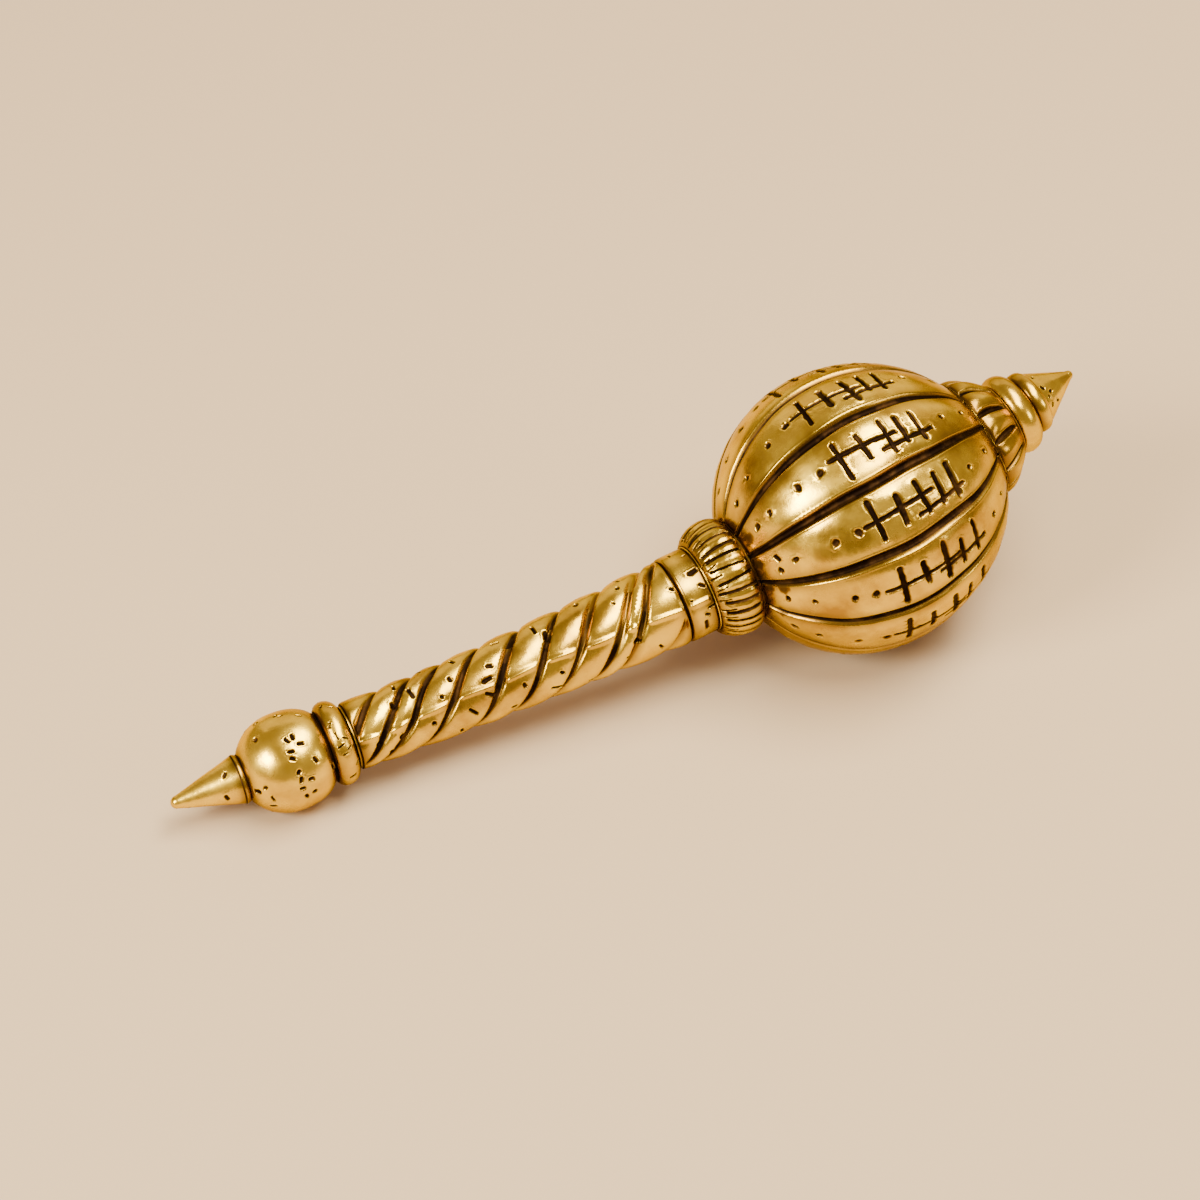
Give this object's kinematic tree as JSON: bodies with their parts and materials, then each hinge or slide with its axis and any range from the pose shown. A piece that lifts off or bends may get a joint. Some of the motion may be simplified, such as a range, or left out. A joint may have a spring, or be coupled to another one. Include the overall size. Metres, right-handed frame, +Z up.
{
  "type": "ceremonial mace",
  "caption": "Small cast brass ceremonial mace with a grooved globe head, gadrooned collar, spiral-grooved handle, ball pommel and spiked ends, lying on its head and pommel.",
  "frame": {"origin": "on the ground, under the middle of the mace's box as it lies", "axes": "+X along the lying mace, from the pommel towards the head, and +Z up"},
  "size_m": [0.1626, 0.0474, 0.047],
  "materials": {
    "brass": "hand-polished cast brass, with dark patina in the grooves and punch marks"
  },
  "bodies": {
    "root": {"mace": "brass"}
  },
  "joints": []
}
